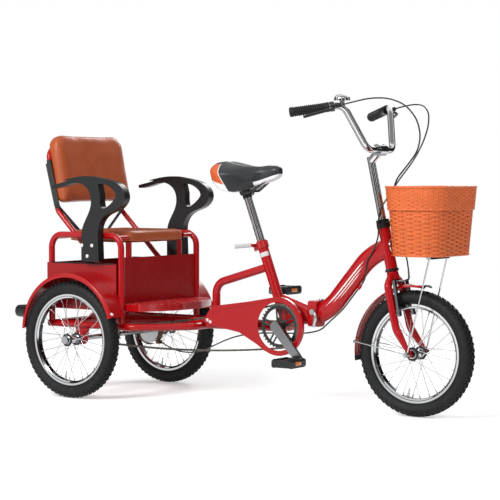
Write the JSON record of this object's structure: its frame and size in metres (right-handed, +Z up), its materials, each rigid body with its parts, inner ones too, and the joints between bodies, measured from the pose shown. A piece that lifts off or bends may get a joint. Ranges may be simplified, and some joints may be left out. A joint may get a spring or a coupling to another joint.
{
  "type": "folding adult tricycle",
  "caption": "Folding adult tricycle with a small front wheel in a raked fork, a low chassis with a passenger bench over a luggage box, swept handlebar, saddle and woven front basket.",
  "frame": {"origin": "on the ground under the middle of the machine's box, halfway between front and back", "axes": "+X forward, +Y to the rider's left, +Z up"},
  "size_m": [1.6565, 0.625, 1.0259],
  "materials": {
    "frame_red": "gloss deep red",
    "chrome": "polished",
    "silver": "satin",
    "black_metal": "satin black",
    "black_plastic": "fine grain",
    "black_rubber": "moulded",
    "tyre_black": "matt rubber",
    "brown_leather": "smooth padded",
    "saddle_black": "soft grain",
    "woven_brown": "woven strip",
    "chain_steel": "oiled"
  },
  "bodies": {
    "rear_frame": {"main_frame": "frame_red", "chassis": "frame_red", "side_rails": "frame_red", "foot_tray": "frame_red", "box_panels": "frame_red", "bench_cushion": "brown_leather", "bench_supports": "frame_red", "back_cushion": "brown_leather", "back_frame": "frame_red", "armrests": "black_plastic", "mudguards": "frame_red", "rear_lamps": "black_plastic", "axle_hangers": "black_metal", "rear_brake": "black_metal", "seat_clamp": "silver", "chain": "chain_steel", "chain_guard": "frame_red", "hinge_pin": "silver", "back_straps": "black_rubber", "rear_cable": "black_rubber"},
    "front_frame": {"front_frame": "frame_red", "hinge_lever": "silver", "headset": "chrome", "frame_cable": "black_rubber"},
    "steering": {"fork": "frame_red", "locknut": "chrome", "front_axle": "silver", "stem": "chrome", "handlebar": "chrome", "grips": "black_rubber", "brake_levers": "silver", "bell": "chrome", "basket": "woven_brown", "basket_stays": "silver", "front_mudguard": "frame_red", "front_brake": "silver", "handlebar_cables": "black_rubber", "front_guard_trim": "black_rubber"},
    "front_wheel": {"front_tyre": "tyre_black", "front_wheel": "chrome"},
    "rear_axle": {"rear_axle": "black_metal", "rear_right_tyre": "tyre_black", "rear_right_wheel": "chrome"},
    "left_wheel": {"rear_left_tyre": "tyre_black", "rear_left_wheel": "chrome"},
    "crank": {"chainring": "black_metal", "cranks": "silver"},
    "right_pedal": {"pedal_right": "black_plastic"},
    "left_pedal": {"pedal_left": "black_plastic"},
    "seat": {"seat_post": "chrome", "saddle": "saddle_black", "saddle_frame": "black_metal"}
  },
  "joints": [
    {"name": "frame_fold", "type": "hinge", "parent": "rear_frame", "child": "front_frame", "pos_m": [0.25, 0.033, 0.313], "axis": [0, 0, 1], "range_deg": [0, 130]},
    {"name": "steering_turn", "type": "hinge", "parent": "front_frame", "child": "steering", "pos_m": [0.539, 0, 0.463], "axis": [-0.2181, 0, 0.9759], "range_deg": [-45, 45]},
    {"name": "front_wheel_spin", "type": "hinge", "parent": "steering", "child": "front_wheel", "pos_m": [0.629, 0, 0.2025], "axis": [0, -1, 0], "continuous": true},
    {"name": "rear_axle_spin", "type": "hinge", "parent": "rear_frame", "child": "rear_axle", "pos_m": [-0.58, 0, 0.2025], "axis": [0, -1, 0], "continuous": true},
    {"name": "left_wheel_spin", "type": "hinge", "parent": "rear_frame", "child": "left_wheel", "pos_m": [-0.58, 0.2737, 0.2025], "axis": [0, -1, 0], "continuous": true},
    {"name": "crank_spin", "type": "hinge", "parent": "rear_frame", "child": "crank", "pos_m": [0.134, 0, 0.2677], "axis": [0, -1, 0], "continuous": true},
    {"name": "right_pedal_spin", "type": "hinge", "parent": "crank", "child": "right_pedal", "pos_m": [0.23008, -0.135, 0.1591], "axis": [0, -1, 0], "continuous": true},
    {"name": "left_pedal_spin", "type": "hinge", "parent": "crank", "child": "left_pedal", "pos_m": [0.03792, 0.135, 0.3763], "axis": [0, -1, 0], "continuous": true},
    {"name": "seat_height", "type": "slide", "parent": "rear_frame", "child": "seat", "axis": [-0.3502, 0, 0.9367], "range_m": [-0.1, 0.06]}
  ],
  "couplings": [
    {"joint": "crank_spin", "follows": "rear_axle_spin", "ratio": 0.44444}
  ]
}
